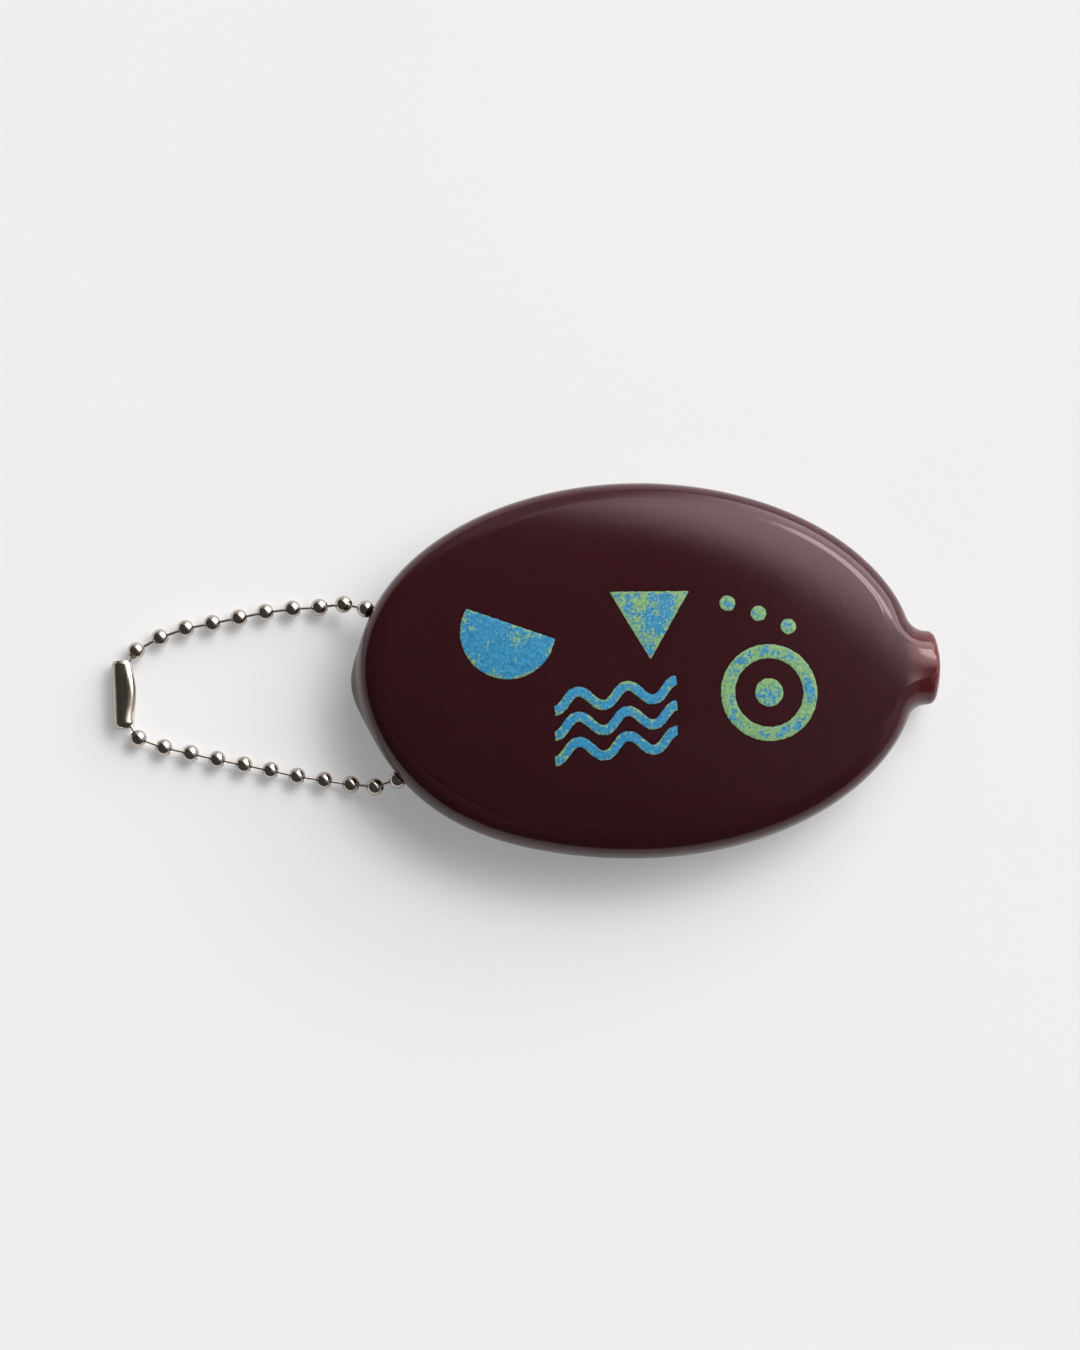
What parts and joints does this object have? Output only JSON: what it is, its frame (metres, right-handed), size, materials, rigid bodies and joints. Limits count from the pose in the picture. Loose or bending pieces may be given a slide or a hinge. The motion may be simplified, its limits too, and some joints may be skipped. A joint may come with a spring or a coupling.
{
  "type": "coin case",
  "caption": "Oval squeeze coin pouch of moulded soft vinyl, slit along its back, with an open neck and a ball chain loop closed by a sheet metal sleeve clasp.",
  "frame": {"origin": "on the plane of the pouch's flat back, under the middle of the whole case with its chain", "axes": "+X along the pouch towards its open neck, +Y across it, +Z from the slit back up to the domed front"},
  "size_m": [0.1129, 0.0514, 0.0127],
  "materials": {
    "oxblood_vinyl": "satin gloss",
    "nickel_plate": "polished",
    "sleeve_plate": "polished"
  },
  "bodies": {
    "pouch": {"ball_inner_1": "nickel_plate", "ball_inner_2": "nickel_plate", "ball_inner_3": "nickel_plate", "ball_inner_4": "nickel_plate", "ball_inner_5": "nickel_plate", "ball_inner_6": "nickel_plate", "ball_inner_7": "nickel_plate", "link_inner_1": "nickel_plate", "link_inner_2": "nickel_plate", "link_inner_3": "nickel_plate", "link_inner_4": "nickel_plate", "link_inner_5": "nickel_plate", "link_inner_6": "nickel_plate", "pouch_shell": "oxblood_vinyl"},
    "link_upper_01": {"link_upper_01": "nickel_plate"},
    "ball_upper_01": {"ball_upper_01": "nickel_plate"},
    "link_upper_02": {"link_upper_02": "nickel_plate"},
    "ball_upper_02": {"ball_upper_02": "nickel_plate"},
    "link_upper_03": {"link_upper_03": "nickel_plate"},
    "ball_upper_03": {"ball_upper_03": "nickel_plate"},
    "link_upper_04": {"link_upper_04": "nickel_plate"},
    "ball_upper_04": {"ball_upper_04": "nickel_plate"},
    "link_upper_05": {"link_upper_05": "nickel_plate"},
    "ball_upper_05": {"ball_upper_05": "nickel_plate"},
    "link_upper_06": {"link_upper_06": "nickel_plate"},
    "ball_upper_06": {"ball_upper_06": "nickel_plate"},
    "link_upper_07": {"link_upper_07": "nickel_plate"},
    "ball_upper_07": {"ball_upper_07": "nickel_plate"},
    "link_upper_08": {"link_upper_08": "nickel_plate"},
    "ball_upper_08": {"ball_upper_08": "nickel_plate"},
    "link_upper_09": {"link_upper_09": "nickel_plate"},
    "ball_upper_09": {"ball_upper_09": "nickel_plate"},
    "link_upper_10": {"link_upper_10": "nickel_plate"},
    "ball_upper_10": {"ball_upper_10": "nickel_plate"},
    "link_upper_11": {"link_upper_11": "nickel_plate"},
    "ball_upper_11": {"ball_upper_11": "nickel_plate"},
    "link_lower_01": {"link_lower_01": "nickel_plate"},
    "ball_lower_01": {"ball_lower_01": "nickel_plate"},
    "link_lower_02": {"link_lower_02": "nickel_plate"},
    "ball_lower_02": {"ball_lower_02": "nickel_plate"},
    "link_lower_03": {"link_lower_03": "nickel_plate"},
    "ball_lower_03": {"ball_lower_03": "nickel_plate"},
    "link_lower_04": {"link_lower_04": "nickel_plate"},
    "ball_lower_04": {"ball_lower_04": "nickel_plate"},
    "link_lower_05": {"link_lower_05": "nickel_plate"},
    "ball_lower_05": {"ball_lower_05": "nickel_plate"},
    "link_lower_06": {"link_lower_06": "nickel_plate"},
    "ball_lower_06": {"ball_lower_06": "nickel_plate"},
    "link_lower_07": {"link_lower_07": "nickel_plate"},
    "ball_lower_07": {"ball_lower_07": "nickel_plate"},
    "link_lower_08": {"link_lower_08": "nickel_plate"},
    "ball_lower_08": {"ball_lower_08": "nickel_plate"},
    "link_lower_09": {"link_lower_09": "nickel_plate"},
    "ball_lower_09": {"ball_lower_09": "nickel_plate"},
    "link_lower_10": {"link_lower_10": "nickel_plate"},
    "ball_lower_10": {"ball_lower_10": "nickel_plate"},
    "link_lower_11": {"link_lower_11": "nickel_plate"},
    "ball_lower_11": {"ball_lower_11": "nickel_plate"},
    "clasp_sleeve": {"clasp_sleeve": "sleeve_plate"}
  },
  "joints": [
    {"name": "link_upper_01_hinge", "type": "hinge", "parent": "pouch", "child": "link_upper_01", "pos_m": [-0.02032, 0.00621, 0.00471], "axis": [-0.098, 0.9952, 0.0077], "range_deg": [-2, 3]},
    {"name": "ball_upper_01_hinge", "type": "hinge", "parent": "link_upper_01", "child": "ball_upper_01", "pos_m": [-0.02158, 0.00848, 0.00483], "axis": [-0.0494, 0.9964, 0.0695], "range_deg": [-2, 3]},
    {"name": "loop_bend_near", "type": "hinge", "parent": "ball_upper_01", "child": "link_upper_02", "pos_m": [-0.02231, 0.00911, 0.00455], "axis": [-0.0386, 0.9961, 0.0791], "range_deg": [-4, 6]},
    {"name": "ball_upper_02_hinge", "type": "hinge", "parent": "link_upper_02", "child": "ball_upper_02", "pos_m": [-0.0244, 0.00977, 0.00318], "axis": [-0.0307, 0.9971, 0.0702], "range_deg": [-4, 6]},
    {"name": "link_upper_03_hinge", "type": "hinge", "parent": "ball_upper_02", "child": "link_upper_03", "pos_m": [-0.02535, 0.0099, 0.00263], "axis": [-0.027, 0.9979, 0.0583], "range_deg": [-4, 6]},
    {"name": "ball_upper_03_hinge", "type": "hinge", "parent": "link_upper_03", "child": "ball_upper_03", "pos_m": [-0.02766, 0.0098, 0.00145], "axis": [-0.0172, 0.9998, 0.0106], "range_deg": [-4, 6]},
    {"name": "link_upper_04_hinge", "type": "hinge", "parent": "ball_upper_03", "child": "link_upper_04", "pos_m": [-0.02871, 0.00975, 0.0012], "axis": [-0.0154, 0.9999, 0], "range_deg": [-4, 6]},
    {"name": "loop_bend_middle", "type": "hinge", "parent": "link_upper_04", "child": "ball_upper_04", "pos_m": [-0.0313, 0.0096, 0.0012], "axis": [-0.017, 0.9999, 0], "range_deg": [-4, 6]},
    {"name": "link_upper_05_hinge", "type": "hinge", "parent": "ball_upper_04", "child": "link_upper_05", "pos_m": [-0.03241, 0.0095, 0.0012], "axis": [-0.0181, 0.9998, 0], "range_deg": [-4, 6]},
    {"name": "ball_upper_05_hinge", "type": "hinge", "parent": "link_upper_05", "child": "ball_upper_05", "pos_m": [-0.03499, 0.00922, 0.0012], "axis": [-0.0213, 0.9998, 0], "range_deg": [-4, 6]},
    {"name": "link_upper_06_hinge", "type": "hinge", "parent": "ball_upper_05", "child": "link_upper_06", "pos_m": [-0.03609, 0.00904, 0.0012], "axis": [-0.0223, 0.9998, 0], "range_deg": [-4, 6]},
    {"name": "ball_upper_06_hinge", "type": "hinge", "parent": "link_upper_06", "child": "ball_upper_06", "pos_m": [-0.03863, 0.00853, 0.0012], "axis": [-0.0239, 0.9997, 0], "range_deg": [-4, 6]},
    {"name": "link_upper_07_hinge", "type": "hinge", "parent": "ball_upper_06", "child": "link_upper_07", "pos_m": [-0.03973, 0.00831, 0.0012], "axis": [-0.0247, 0.9997, 0], "range_deg": [-4, 6]},
    {"name": "ball_upper_07_hinge", "type": "hinge", "parent": "link_upper_07", "child": "ball_upper_07", "pos_m": [-0.04227, 0.0078, 0.0012], "axis": [-0.0265, 0.9996, 0], "range_deg": [-4, 6]},
    {"name": "loop_bend_far", "type": "hinge", "parent": "ball_upper_07", "child": "link_upper_08", "pos_m": [-0.04337, 0.00759, 0.0012], "axis": [-0.0276, 0.9996, 0], "range_deg": [-4, 6]},
    {"name": "ball_upper_08_hinge", "type": "hinge", "parent": "link_upper_08", "child": "ball_upper_08", "pos_m": [-0.04592, 0.00713, 0.0012], "axis": [-0.0309, 0.9995, 0], "range_deg": [-4, 6]},
    {"name": "link_upper_09_hinge", "type": "hinge", "parent": "ball_upper_08", "child": "link_upper_09", "pos_m": [-0.047, 0.00684, 0.0012], "axis": [-0.0313, 0.9995, 0], "range_deg": [-4, 6]},
    {"name": "ball_upper_09_hinge", "type": "hinge", "parent": "link_upper_09", "child": "ball_upper_09", "pos_m": [-0.04944, 0.00598, 0.0012], "axis": [-0.0293, 0.9996, 0], "range_deg": [-4, 6]},
    {"name": "link_upper_10_hinge", "type": "hinge", "parent": "ball_upper_09", "child": "link_upper_10", "pos_m": [-0.05046, 0.00553, 0.0012], "axis": [-0.0275, 0.9996, 0], "range_deg": [-4, 6]},
    {"name": "ball_upper_10_hinge", "type": "hinge", "parent": "link_upper_10", "child": "ball_upper_10", "pos_m": [-0.05274, 0.0043, 0.0012], "axis": [-0.0203, 0.9998, 0], "range_deg": [-4, 6]},
    {"name": "link_upper_11_hinge", "type": "hinge", "parent": "ball_upper_10", "child": "link_upper_11", "pos_m": [-0.0535, 0.00355, 0.00125], "axis": [-0.0193, 0.9998, 0], "range_deg": [-4, 6]},
    {"name": "ball_upper_11_hinge", "type": "hinge", "parent": "link_upper_11", "child": "ball_upper_11", "pos_m": [-0.05474, 0.00128, 0.0015], "axis": [-0.0265, 0.9996, 0], "range_deg": [-4, 6]},
    {"name": "link_lower_01_hinge", "type": "hinge", "parent": "pouch", "child": "link_lower_01", "pos_m": [-0.01828, -0.01457, 0.00455], "axis": [-0.098, 0.9952, 0.0077], "range_deg": [-2, 3]},
    {"name": "ball_lower_01_hinge", "type": "hinge", "parent": "link_lower_01", "child": "ball_lower_01", "pos_m": [-0.02041, -0.01509, 0.00318], "axis": [-0.0494, 0.9964, 0.0695], "range_deg": [-2, 3]},
    {"name": "link_lower_02_hinge", "type": "hinge", "parent": "ball_lower_01", "child": "link_lower_02", "pos_m": [-0.02137, -0.01512, 0.00263], "axis": [-0.0386, 0.9961, 0.0791], "range_deg": [-4, 6]},
    {"name": "ball_lower_02_hinge", "type": "hinge", "parent": "link_lower_02", "child": "ball_lower_02", "pos_m": [-0.02364, -0.01475, 0.00145], "axis": [-0.0307, 0.9971, 0.0702], "range_deg": [-4, 6]},
    {"name": "link_lower_03_hinge", "type": "hinge", "parent": "ball_lower_02", "child": "link_lower_03", "pos_m": [-0.02469, -0.01458, 0.0012], "axis": [-0.027, 0.9979, 0.0583], "range_deg": [-4, 6]},
    {"name": "ball_lower_03_hinge", "type": "hinge", "parent": "link_lower_03", "child": "ball_lower_03", "pos_m": [-0.02724, -0.01416, 0.0012], "axis": [-0.0172, 0.9998, 0.0106], "range_deg": [-4, 6]},
    {"name": "link_lower_04_hinge", "type": "hinge", "parent": "ball_lower_03", "child": "link_lower_04", "pos_m": [-0.02835, -0.01397, 0.0012], "axis": [-0.0154, 0.9999, 0], "range_deg": [-4, 6]},
    {"name": "ball_lower_04_hinge", "type": "hinge", "parent": "link_lower_04", "child": "ball_lower_04", "pos_m": [-0.0309, -0.01355, 0.0012], "axis": [-0.017, 0.9999, 0], "range_deg": [-4, 6]},
    {"name": "link_lower_05_hinge", "type": "hinge", "parent": "ball_lower_04", "child": "link_lower_05", "pos_m": [-0.032, -0.01333, 0.0012], "axis": [-0.0181, 0.9998, 0], "range_deg": [-4, 6]},
    {"name": "ball_lower_05_hinge", "type": "hinge", "parent": "link_lower_05", "child": "ball_lower_05", "pos_m": [-0.03452, -0.01273, 0.0012], "axis": [-0.0213, 0.9998, 0], "range_deg": [-4, 6]},
    {"name": "link_lower_06_hinge", "type": "hinge", "parent": "ball_lower_05", "child": "link_lower_06", "pos_m": [-0.03561, -0.01248, 0.0012], "axis": [-0.0223, 0.9998, 0], "range_deg": [-4, 6]},
    {"name": "ball_lower_06_hinge", "type": "hinge", "parent": "link_lower_06", "child": "ball_lower_06", "pos_m": [-0.03814, -0.01193, 0.0012], "axis": [-0.0239, 0.9997, 0], "range_deg": [-4, 6]},
    {"name": "link_lower_07_hinge", "type": "hinge", "parent": "ball_lower_06", "child": "link_lower_07", "pos_m": [-0.03924, -0.01169, 0.0012], "axis": [-0.0247, 0.9997, 0], "range_deg": [-4, 6]},
    {"name": "ball_lower_07_hinge", "type": "hinge", "parent": "link_lower_07", "child": "ball_lower_07", "pos_m": [-0.04177, -0.01114, 0.0012], "axis": [-0.0265, 0.9996, 0], "range_deg": [-4, 6]},
    {"name": "link_lower_08_hinge", "type": "hinge", "parent": "ball_lower_07", "child": "link_lower_08", "pos_m": [-0.04286, -0.01089, 0.0012], "axis": [-0.0276, 0.9996, 0], "range_deg": [-4, 6]},
    {"name": "ball_lower_08_hinge", "type": "hinge", "parent": "link_lower_08", "child": "ball_lower_08", "pos_m": [-0.04538, -0.01029, 0.0012], "axis": [-0.0309, 0.9995, 0], "range_deg": [-4, 6]},
    {"name": "link_lower_09_hinge", "type": "hinge", "parent": "ball_lower_08", "child": "link_lower_09", "pos_m": [-0.04647, -0.01003, 0.0012], "axis": [-0.0313, 0.9995, 0], "range_deg": [-4, 6]},
    {"name": "ball_lower_09_hinge", "type": "hinge", "parent": "link_lower_09", "child": "ball_lower_09", "pos_m": [-0.04899, -0.00943, 0.0012], "axis": [-0.0293, 0.9996, 0], "range_deg": [-4, 6]},
    {"name": "link_lower_10_hinge", "type": "hinge", "parent": "ball_lower_09", "child": "link_lower_10", "pos_m": [-0.05006, -0.00911, 0.0012], "axis": [-0.0275, 0.9996, 0], "range_deg": [-4, 6]},
    {"name": "ball_lower_10_hinge", "type": "hinge", "parent": "link_lower_10", "child": "ball_lower_10", "pos_m": [-0.05249, -0.00821, 0.0012], "axis": [-0.0203, 0.9998, 0], "range_deg": [-4, 6]},
    {"name": "link_lower_11_hinge", "type": "hinge", "parent": "ball_lower_10", "child": "link_lower_11", "pos_m": [-0.05329, -0.00753, 0.00125], "axis": [-0.0193, 0.9998, 0], "range_deg": [-4, 6]},
    {"name": "ball_lower_11_hinge", "type": "hinge", "parent": "link_lower_11", "child": "ball_lower_11", "pos_m": [-0.05456, -0.00529, 0.0015], "axis": [-0.0265, 0.9996, 0], "range_deg": [-4, 6]},
    {"name": "clasp_turn", "type": "hinge", "parent": "ball_upper_11", "child": "clasp_sleeve", "pos_m": [-0.05492, -0.002, 0.00155], "axis": [-0.0296, 0.9996, 0], "range_deg": [-15, 15]}
  ],
  "couplings": [
    {"joint": "link_upper_01_hinge", "follows": "loop_bend_near", "ratio": 0.5},
    {"joint": "ball_upper_01_hinge", "follows": "loop_bend_near", "ratio": 0.5},
    {"joint": "ball_upper_02_hinge", "follows": "loop_bend_near", "ratio": 1},
    {"joint": "link_upper_03_hinge", "follows": "loop_bend_near", "ratio": 1},
    {"joint": "ball_upper_03_hinge", "follows": "loop_bend_near", "ratio": 1},
    {"joint": "link_upper_04_hinge", "follows": "loop_bend_near", "ratio": 1},
    {"joint": "link_upper_05_hinge", "follows": "loop_bend_middle", "ratio": 1},
    {"joint": "ball_upper_05_hinge", "follows": "loop_bend_middle", "ratio": 1},
    {"joint": "link_upper_06_hinge", "follows": "loop_bend_middle", "ratio": 1},
    {"joint": "ball_upper_06_hinge", "follows": "loop_bend_middle", "ratio": 1},
    {"joint": "link_upper_07_hinge", "follows": "loop_bend_middle", "ratio": 1},
    {"joint": "ball_upper_07_hinge", "follows": "loop_bend_middle", "ratio": 1},
    {"joint": "ball_upper_08_hinge", "follows": "loop_bend_far", "ratio": 1},
    {"joint": "link_upper_09_hinge", "follows": "loop_bend_far", "ratio": 1},
    {"joint": "ball_upper_09_hinge", "follows": "loop_bend_far", "ratio": 1},
    {"joint": "link_upper_10_hinge", "follows": "loop_bend_far", "ratio": 1},
    {"joint": "ball_upper_10_hinge", "follows": "loop_bend_far", "ratio": 1},
    {"joint": "link_upper_11_hinge", "follows": "loop_bend_far", "ratio": 1},
    {"joint": "ball_upper_11_hinge", "follows": "loop_bend_far", "ratio": 1},
    {"joint": "link_lower_01_hinge", "follows": "loop_bend_near", "ratio": 0.5},
    {"joint": "ball_lower_01_hinge", "follows": "loop_bend_near", "ratio": 0.5},
    {"joint": "link_lower_02_hinge", "follows": "loop_bend_near", "ratio": 1},
    {"joint": "ball_lower_02_hinge", "follows": "loop_bend_near", "ratio": 1},
    {"joint": "link_lower_03_hinge", "follows": "loop_bend_near", "ratio": 1},
    {"joint": "ball_lower_03_hinge", "follows": "loop_bend_near", "ratio": 1},
    {"joint": "link_lower_04_hinge", "follows": "loop_bend_near", "ratio": 1},
    {"joint": "ball_lower_04_hinge", "follows": "loop_bend_middle", "ratio": 1},
    {"joint": "link_lower_05_hinge", "follows": "loop_bend_middle", "ratio": 1},
    {"joint": "ball_lower_05_hinge", "follows": "loop_bend_middle", "ratio": 1},
    {"joint": "link_lower_06_hinge", "follows": "loop_bend_middle", "ratio": 1},
    {"joint": "ball_lower_06_hinge", "follows": "loop_bend_middle", "ratio": 1},
    {"joint": "link_lower_07_hinge", "follows": "loop_bend_middle", "ratio": 1},
    {"joint": "ball_lower_07_hinge", "follows": "loop_bend_middle", "ratio": 1},
    {"joint": "link_lower_08_hinge", "follows": "loop_bend_far", "ratio": 1},
    {"joint": "ball_lower_08_hinge", "follows": "loop_bend_far", "ratio": 1},
    {"joint": "link_lower_09_hinge", "follows": "loop_bend_far", "ratio": 1},
    {"joint": "ball_lower_09_hinge", "follows": "loop_bend_far", "ratio": 1},
    {"joint": "link_lower_10_hinge", "follows": "loop_bend_far", "ratio": 1},
    {"joint": "ball_lower_10_hinge", "follows": "loop_bend_far", "ratio": 1},
    {"joint": "link_lower_11_hinge", "follows": "loop_bend_far", "ratio": 1},
    {"joint": "ball_lower_11_hinge", "follows": "loop_bend_far", "ratio": 1}
  ]
}
